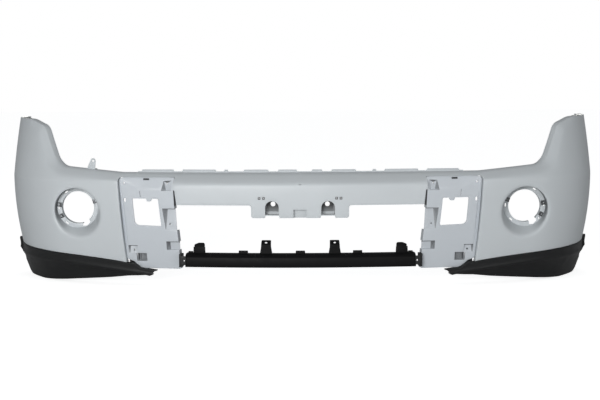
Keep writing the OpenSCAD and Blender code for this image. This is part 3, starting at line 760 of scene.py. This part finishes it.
def corner_profile(s):
    """Cross-section of the black corner from its upper flange round to its lower one."""
    top = corner_top(s)
    ridge = min(table(s, RIDGE), top - 4)
    low = min(table(s, CORNER_LOW), ridge - 4)
    size = min(1.0, (ridge - low) / 45)
    mid = [
        (top, 0.5), (top - 2, -2.2), (ridge + (top - ridge) * 0.55, -3.0),
        (ridge + (top - ridge) * 0.25, -4.6), (ridge + 1.5, -7.0), (ridge - 3, -6.5),
        (ridge - 3 - (ridge - low) * 0.12, -2.5), (ridge - (ridge - low) * 0.4, 1 + size),
        (ridge - (ridge - low) * 0.75, 2 + 2 * size), (low + 2.2, 3 + 2 * size),
        (low, 6 + 2 * size),
    ]
    curve = [(top, 17.0), (top, 8.0)] + smooth_line(mid, 4) + [(low, 22.0), (low, 32.0)]
    return [(float(z), float(i)) for z, i in curve]


def flare(s, z):
    """How far the corner's rear part stands out, at its lower edge and at its rear lip."""
    back = min(1.0, max(0.0, (s - FLARE_START) / (CORNER_END - FLARE_START)))
    low = LOW_FLARE * back**2 * (3 - 2 * back) * min(1.0, max(0.0, (76 - z) / 32))
    lip = LIP_FLARE * min(1.0, max(0.0, (s - CORNER_END) / 5)) * min(1.0, max(0.0, (z - 50) / 14))
    return low + lip


def black_corner():
    bm = bmesh.new()
    rows = []
    stations = list(np.linspace(CORNER_START, CORNER_END, 104))
    for s in stations + [CORNER_END + d for d in (2.5, 5, 16, 30)]:
        # the inner end slants: its lower edge starts further out than its upper one
        lean = 20 * (1 - min(1.0, (s - CORNER_START) / 60))
        line = corner_profile(s)
        top, low = line[0][0], line[-1][0]
        rows.append(
            [face(s + lean * (top - z) / (top - low), z, i - flare(s, z)) for z, i in line]
        )
    loft(bm, rows)
    facing(bm, 1, -1)
    # tab that holds the corner to the back of the trim panel
    tab = bmesh.new()
    sheet(
        tab,
        subdivide(box_loop(50, 69, 63.5, 86, 1.0), 5, closed=True),
        lambda x, z: PANEL_FRAME @ Vector((x, TAB_Y, z)),
        5.0,
        [Hole(circle(64, 73, 2.8, 20))],
        lip=lambda x, z, t: PANEL_FRAME @ Vector((x, TAB_Y - 7.5 * t, z)) if z < 65 else None,
    )
    facing(tab, 1, -1)
    spare = bpy.data.meshes.new("tab")
    tab.to_mesh(spare)
    tab.free()
    bm.from_mesh(spare)
    bpy.data.meshes.remove(spare)
    both("black_corner", bm, "lower_corner", "black_textured", BLACK, thickness=2.8, bevel=0.9)


black_corner()

# ------------------------------------------------------------------ trim panels
PANEL_DEPTH = [(51.5, 41), (90, 31), (136, 21), (190, 13), (240, 8), (287, 7), (320, 6.5)]
EDGE_TOP, EDGE_LOW = (85.5, 319.5), (72.5, 79)
# Depth of the lip, and the screws that hold the lap behind it to the wing
PANEL_LIP, INNER_LIP, LAP_SCREWS = 14.0, 24.0, (110, 180, 250, 300)


def edge_x(z):
    """Outer edge of the trim panel."""
    (x0, z0), (x1, z1) = EDGE_LOW, EDGE_TOP
    return x0 + (x1 - x0) * (z - z0) / (z1 - z0)


def panel_depth(x, z):
    """Depth of the panel's front, with the slope above its knee and the bead at its edge."""
    knee = 286 if x < 20 else 286 + (x - 20) * 30 / 62
    over = z - knee
    slope = 0.5 * (over + math.sqrt(over**2 + 2.0**2)) / 33 * 10
    edge = edge_x(z) - x
    bead = 1.0 * max(0.0, 1 - abs(edge - 3.2) / 2.2) if z > 79 else 0.0
    return table(z, PANEL_DEPTH) + slope - bead


def panel_point(x, z, deep=0.0):
    return PANEL_FRAME @ Vector((x, panel_depth(x, z) + deep, z))


PANEL_OUTLINE = subdivide(
    round_corners(
        [
            (-78, 319.5), (-77.5, 284), (-80, 230), (-87.5, 136), (-88, 51.5), (31, 51.5),
            (53, 72), EDGE_LOW, EDGE_TOP,
        ],
        {4: 4, 5: 5, 8: 12},
        8,
    ),
    8.0,
    closed=True,
)
WINDOW = subdivide(
    round_corners(
        [
            (-31.5, 258), (-38.5, 178.5), (41, 181), (46, 258.5), (4.6, 258.4), (3, 250),
            (-11, 250), (-12.4, 258.2),
        ],
        {0: 3, 1: 4, 2: 14, 3: 3, 5: 6.5, 6: 6.5},
        12,
    ),
    6.0,
    closed=True,
)


def flat(deep):
    """Floor of a recess that follows the panel's front."""
    return lambda x, z: panel_point(x, z, deep)


def straight(deep):
    """Wall that runs straight to the rear."""
    return lambda x, z, t: panel_point(x, z, deep * t)


def panel_lip(x, z, t):
    """Return along the panel's edge, deepest along the inner one."""
    if z < 52.5 or abs(x - edge_x(z)) < 3 or x < -73 or (x > 30 and z < 80) or z > 319:
        deep = INNER_LIP if x < -73 else 15.0 if z < 52.5 else PANEL_LIP
        return panel_point(x, z, deep * t)
    return None


# Height of the painted shadow band under the upper edge of a recess
UNDER_EDGE = 2.6
# Where the floors of the recesses meet their slanted outer walls, from the top down
BOSS_EDGE = [(-48.5, 308.5), (-53.5, 283.5)]
SIDE_EDGE = [(-57, 230), (-52.5, 170)]
POCKET_EDGE = [(-60, 133), (-60, 109)]
LOWER_EDGE = [(61, 119.5), (62, 98)]


def slanted(loop, edge, top, bottom, dark):
    """Recess with a floor inboard of the edge line and a slanted wall outboard of it."""
    (x1, z1), (x0, z0) = edge

    def across(z):
        """Station of the floor's edge at height z."""
        return x0 + (x1 - x0) * (z - z0) / (z1 - z0)

    def rim(z):
        """Outermost station of the recess's loop at height z."""
        crossings = []
        for (ax, az), (bx, bz) in zip(loop, loop[1:] + loop[:1]):
            if min(az, bz) - 0.01 <= z <= max(az, bz) + 0.01 and abs(bz - az) > 0.01:
                crossings.append(ax + (bx - ax) * (z - az) / (bz - az))
        return max(crossings, default=x0)

    def floor(x, z):
        deep = bottom + (top - bottom) * min(1, max(0, (z - z0) / (z1 - z0)))
        if x > across(z):
            deep *= min(1, max(0.05, (rim(z) - x) / max(0.5, rim(z) - across(z))))
        return panel_point(x, z, deep)

    # painted shade of strength dark on the slanted part and in a band under the upper edge, weaker
    # lower down
    def painted_shade(x, z, t):
        share = 0.6 + 0.4 * min(1, max(0, (z - z0) / (z1 - z0)))
        if t == 1:
            return dark * share if x > across(z) or z > z1 - UNDER_EDGE else 0.05
        return dark if x > across(z) or z > z1 - 2 else 0.25

    return Hole(loop, floor=floor, painted_shade=painted_shade)


def trim_panel():
    bm = bmesh.new()
    holes = [
        # screw holes in the floors of the recesses come before the recesses
        Hole(circle(-57.7, 302.4, 2.4, 16)),
        Hole(circle(-63.9, 184.7, 2.4, 16)),
        Hole(circle(49.3, 106, 2.8, 16)),
        # the window's walls carry a little painted shade
        Hole(WINDOW, straight(3.0), 1, painted_shade=lambda u, v, t: 0.3),
        # slot at the top, its floor painted fully in shade so that it reads as dark
        Hole(box_loop(-3.7, 14.1, 311.8, 317, 0.8), floor=flat(4.5), painted_shade=lambda u, v, t: 1.0),
        Hole([(24.5, 281), (22.6, 280.6), (20.6, 264), (22.4, 263.5)], straight(5), 1),
        Hole(box_loop(66, 72.5, 248.5, 259, 1), straight(4), 1),
        Hole(circle(70.6, 303.7, 2.7, 16), straight(4), 1),
        # lamp-clip window, with painted shade on its walls
        Hole(box_loop(12, 43, 73, 97, 1.5), straight(6), 2, painted_shade=lambda u, v, t: 0.6),
        # recesses whose outer wall slants: loop, floor's outer edge, depths at top and bottom,
        # strength of their painted shade
        slanted(
            [(-71, 283), (-41.5, 281), (-47.5, 309.5), (-71, 311)], BOSS_EDGE, 1.5, 10, 0.8
        ),
        slanted(
            [(-95, 230.5), (-95, 166), (-51, 169), (-43.5, 229), (-43.5, 230.5)],
            SIDE_EDGE, 12, 1, 0.75,
        ),
        slanted(box_loop(-95, -50.5, 108.5, 133.5), POCKET_EDGE, 11, 9, 0.9),
        slanted([(38, 97), (66, 97), (66, 120), (38, 120)], LOWER_EDGE, 8, 0.5, 0.8),
    ]
    creases = [
        # the knee of the front, the edges of the floors, the lower edges of the painted shadow
        # bands, the bead's sides
        [(-70, 286), (20, 286)], [(20, 286), (80, 315)],
        BOSS_EDGE, SIDE_EDGE, POCKET_EDGE, LOWER_EDGE,
        [(-79, 230 - UNDER_EDGE), (-45, 230 - UNDER_EDGE)],
        [(-86, 133 - UNDER_EDGE), (-52, 133 - UNDER_EDGE)],
        [(39, 119.5 - UNDER_EDGE), (65, 119.5 - UNDER_EDGE)],
        [(edge_x(300) - 5.4, 300), (edge_x(90) - 5.4, 90)],
        [(edge_x(304) - 3.2, 304), (edge_x(86) - 3.2, 86)],
        [(edge_x(304) - 1.0, 304), (edge_x(84) - 1.0, 84)],
    ]

    # painted shade on the inner lip, which faces the gap beside the lower bar: dark up high, light
    # below
    def lip_painted_shade(x, z, _t):
        return 0.0 if x > -73 else 0.9 if z > 236 else 0.12

    sheet(bm, PANEL_OUTLINE, panel_point, 6.0, holes, creases, panel_lip, 2, lip_painted_shade)
    # lap that runs behind the wing and closes the gap beside it
    lap = subdivide([(70, 82), (84.5, 82), (97, 317), (82, 317)], 9, closed=True)

    def behind(x, z):
        """Point on the lap, which keeps the depth of the panel's edge as it runs outwards."""
        edge = min(x, edge_x(z) - 6)
        return PANEL_FRAME @ Vector((x, panel_depth(edge, z) + PANEL_LIP, z))

    screws = [Hole(circle(80.2 + 10.2 * (z - 110) / 190, z, 2.3, 16)) for z in LAP_SCREWS]
    sheet(bm, lap, behind, 9, screws)
    facing(bm, 1, -1)
    both("trim_panel", bm, "trim_panel", "primer", PANEL, thickness=2.4, bevel=0.7, even=False)


trim_panel()

# ------------------------------------------------------------------ lower bar
BAR_R, BAR_FRONT, BAR_HALF = 2400.0, 14 - MID_Y, 334.0
POST_AT, POST_BEND, POST_LEAN = 100, 125, math.radians(50)
LUG = [(279, 117), (309, 117), (311, 124), (298, 129), (280, 129)]


def bar_point(x, deep, z):
    """Point of the lower bar at x along it, deep behind its front."""
    a = math.asin(x / BAR_R)
    r = BAR_R - deep
    return Vector((r * math.sin(a), BAR_FRONT + BAR_R - r * math.cos(a), z))


def bar_frame(x):
    """Local frame at x along the bar's front."""
    return Matrix.Translation(bar_point(x, 0, 0)) @ Matrix.Rotation(math.asin(x / BAR_R), 4, "Z")


def bar_block(bm, x0, x1, y0, y1, z0, z1, taper=0.0):
    """Small block on the bar; taper narrows its top."""
    turn = bar_frame((x0 + x1) / 2)
    w = (x1 - x0) / 2
    corners = []
    for z, k in ((z0, 0), (z1, taper)):
        corners += [(-w + k, y0, z), (w - k, y0, z), (w - k, y1, z), (-w + k, y1, z)]
    v = [bm.verts.new((turn @ Vector(c)) * MM) for c in corners]
    for f in ((0, 1, 2, 3), (7, 6, 5, 4), (0, 4, 5, 1), (1, 5, 6, 2), (2, 6, 7, 3), (3, 7, 4, 0)):
        bm.faces.new([v[i] for i in f])


def lower_bar():
    bm = bmesh.new()
    profile = [
        (34, 59.5), (18, 59.5), (4, 59.6), (1.5, 61.5), (0.4, 66), (0, 76), (0.2, 86.8),
        (0.9, 89.4), (3.0, 91.2), (6.5, 94.5), (12, 98), (15, 99), (24, 99), (34, 99),
    ]
    rows = [
        [bar_point(x, d, z) for d, z in profile]
        for x in np.linspace(-BAR_HALF, BAR_HALF, 120)
    ]
    loft(bm, rows)
    facing(bm, 1, -1)
    ob = finish_mesh("lower_bar_shell", bm, BAR_BLACK, 2.8, 0.6)
    ready(ob, ["lower_bar"])
    bm = bmesh.new()
    for x in (-166, 0, 166):
        bar_block(bm, x - 14, x + 14, 15, 18, 98, 108, 0.8)
    for side in (-1, 1):
        for x0, x1, z1 in ((277, 313, 118), (313, 328, 105)):
            a, b = sorted((side * x0, side * x1))
            bar_block(bm, a, b, 15, 18, 98, z1, 1.0)
        # the end tabs have a thumb-shaped top that leans back
        lug = round_corners(LUG, {2: 4, 3: 9, 4: 6}, 15)
        front, back = (
            [
                bm.verts.new(bar_point(side * x, deep + 0.5 * (z - LUG[0][1]), z) * MM)
                for x, z in lug
            ]
            for deep in (15, 18.5)
        )
        bm.faces.new(front)
        bm.faces.new(back[::-1])
        for k in range(len(front)):
            n = (k + 1) % len(front)
            bm.faces.new((front[k], back[k], back[n], front[n]))
        for x in (40, 130, 200, 260):
            bar_block(bm, side * x - 1.2, side * x + 1.2, 3, 33, 61, 98)
    bmesh.ops.recalc_face_normals(bm, faces=bm.faces)
    ob = finish_mesh("lower_bar_tabs", bm, BAR_BLACK, 0, 0.8, segments=3)
    ready(ob, ["lower_bar"])
    # posts: an upright web with side ribs and a slanted top that has a screw hole
    for side, name in ((-1, "left"), (1, "right")):
        bm = bmesh.new()
        turn = bar_frame(side * POST_AT)

        def post(u, v, deep=0.0, turn=turn):
            """v counts along the web, and past its bend along the slanted top."""
            over = max(0.0, v - POST_BEND)
            y = 15.6 + over * math.sin(POST_LEAN) + deep
            z = min(v, POST_BEND) + over * math.cos(POST_LEAN)
            return turn @ Vector((u, y, z))

        line = round_corners(
            [(-18, 97), (18, 97), (14.4, 118), (13.5, 143.5), (-13.5, 143.5), (-14.4, 118)],
            {3: 4, 4: 4},
            20,
        )
        sheet(
            bm,
            subdivide(line, 4, closed=True),
            post,
            4.0,
            [Hole(circle(0, 134.4, 4, 20))],
            [[(-14.2, POST_BEND), (14.2, POST_BEND)]],
            lambda u, v, t: post(u, v, 9 * t) if abs(u) > 12 and v < 142 else None,
        )
        facing(bm, 1, -1)
        ob = finish_mesh("lower_bar_post_" + name, bm, BAR_BLACK, 3.0, 0.7)
        ready(ob, ["lower_bar"])


lower_bar()

# ------------------------------------------------------------------ strip along the top
TABS = [
    (-470, -376), (-347, -250), (-222, -214), (-164, -95), (-63, -11), (36, 63), (94, 162),
    (214, 222), (250, 347), (376, 470),
]
TAB_HEIGHT, STRIP_HEIGHT, STRIP_HALF, STRIP_FOOT = 8.5, 3.5, 484, BAR_TOP + 0.2


def top_strip():
    bm = bmesh.new()

    def lay(s, v, deep=0.0):
        return face(s, STRIP_FOOT + v, table(abs(s), [(BAR_END, 47), (GAP_END, 36)]) + deep)

    line = [(-STRIP_HALF, 0.0), (STRIP_HALF, 0.0), (STRIP_HALF, STRIP_HEIGHT)]
    for a, b in TABS[::-1]:
        line += [(b + 3, STRIP_HEIGHT), (b, TAB_HEIGHT), (a, TAB_HEIGHT), (a - 3, STRIP_HEIGHT)]
    line.append((-STRIP_HALF, STRIP_HEIGHT))
    sheet(
        bm,
        subdivide(line, 9, closed=True),
        lay,
        5.0,
        lip=lambda s, v, t: lay(s, v, 9 * t) if v < 0.1 else None,
    )
    facing(bm, 1, -1)
    ready(finish_mesh("top_strip", bm, PRIMER, 1.8, 0.5), ["grille_strip"])


top_strip()

# ------------------------------------------------------------------ CAD parts with rounded edges
for side in ("left", "right"):
    rounded_copy("fog_carrier_" + side, PRIMER, 0.6)
    rounded_copy("bar_bracket_" + side, BLACK, 0.7)
    rounded_copy("clip_seat_" + side, NYLON, 0.4)
    rounded_copy("panel_nuts_" + side, ZINC, 0.25)
    rounded_copy("fender_nuts_" + side, ZINC, 0.25)
rounded_copy("washer_bracket", PRIMER, 0.6)
for node in (
    "fog_carrier_screws", "panel_screws", "bar_screws", "arch_screws", "washer_bracket_screw",
):
    rounded_copy(node, ZINC, 0.35)
rounded_copy("fog_lamp_nuts", SPRING, 0.25)
for node in ("corner_bolts", "lower_corner_rivets", "grille_strip_rivets"):
    rounded_copy(node, NYLON_BLACK, 0.35)
rounded_copy("plate_grommets", NYLON_GREY, 0.35)

# ------------------------------------------------------------------ studio
FLOOR_HALF, FLOOR_GLOW, FILL = 30, 0.75, 0.3
CAMERA_AT, CAMERA_AIM = (0.047, -3.5 - MID_Y * MM, 0.5694), (0, -MID_Y * MM, 0.257)
LENS, ROLL = 74.1, math.radians(-0.3)


def area_light(name, where, target, width, height, watts):
    """Soft light, in metres and watts."""
    data = bpy.data.lights.new(name, "AREA")
    data.shape, data.size, data.size_y = "RECTANGLE", width, height
    data.energy = watts
    ob = bpy.data.objects.new(name, data)
    bpy.context.scene.collection.objects.link(ob)
    ob.location = where
    ob.rotation_euler = (Vector(target) - Vector(where)).to_track_quat("-Z", "Y").to_euler()


def studio():
    bpy.context.scene.view_settings.view_transform = "Standard"
    world = bpy.data.worlds.new("studio")
    bpy.context.scene.world = world
    world.use_nodes = True
    tree = world.node_tree
    back = tree.nodes["Background"]
    back.inputs["Color"].default_value = (1, 1, 1, 1)
    back.inputs["Strength"].default_value = 1.0
    # white behind the cover for the camera, a weaker fill on it
    soft = tree.nodes.new("ShaderNodeBackground")
    soft.inputs["Color"].default_value = (0.97, 0.985, 1, 1)
    soft.inputs["Strength"].default_value = FILL
    path = tree.nodes.new("ShaderNodeLightPath")
    mix = tree.nodes.new("ShaderNodeMixShader")
    tree.links.new(path.outputs["Is Camera Ray"], mix.inputs["Fac"])
    tree.links.new(soft.outputs[0], mix.inputs[1])
    tree.links.new(back.outputs[0], mix.inputs[2])
    tree.links.new(mix.outputs[0], tree.nodes["World Output"].inputs["Surface"])
    mesh = bpy.data.meshes.new("floor")
    signs = ((-1, -1), (1, -1), (1, 1), (-1, 1))
    mesh.from_pydata([(FLOOR_HALF * x, FLOOR_HALF * y, 0) for x, y in signs], [], [(0, 1, 2, 3)])
    floor = bpy.data.objects.new("floor", mesh)
    bpy.context.scene.collection.objects.link(floor)
    pale = bpy.data.materials.new("pale_floor")
    pale.use_nodes = True
    b = pale.node_tree.nodes["Principled BSDF"]
    b.inputs["Base Color"].default_value = (0.8, 0.8, 0.8, 1)
    b.inputs["Roughness"].default_value = 0.9
    b.inputs["Emission Color"].default_value = (1, 1, 1, 1)
    # the floor glows for the camera only, so it stays pale without lighting the cover
    seen = pale.node_tree.nodes.new("ShaderNodeLightPath")
    glow = pale.node_tree.nodes.new("ShaderNodeMath")
    glow.operation = "MULTIPLY"
    glow.inputs[1].default_value = FLOOR_GLOW
    pale.node_tree.links.new(seen.outputs["Is Camera Ray"], glow.inputs[0])
    pale.node_tree.links.new(glow.outputs[0], b.inputs["Emission Strength"])
    mesh.materials.append(pale)
    area_light("front_left", (-0.95, -4.2, 0.9), (0, 0, 0.25), 1.6, 1.0, 96)
    area_light("front_right", (2.6, -3.4, 1.2), (0.2, 0, 0.25), 1.6, 1.2, 15)


def camera():
    data = bpy.data.cameras.new("camera")
    ob = bpy.data.objects.new("camera", data)
    bpy.context.scene.collection.objects.link(ob)
    data.sensor_width = 36
    data.lens = LENS
    ob.location = CAMERA_AT
    turn = (Vector(CAMERA_AIM) - ob.location).to_track_quat("-Z", "Y")
    ob.rotation_euler = (turn @ Quaternion((0, 0, 1), ROLL)).to_euler()
    bpy.context.scene.camera = ob


studio()
camera()
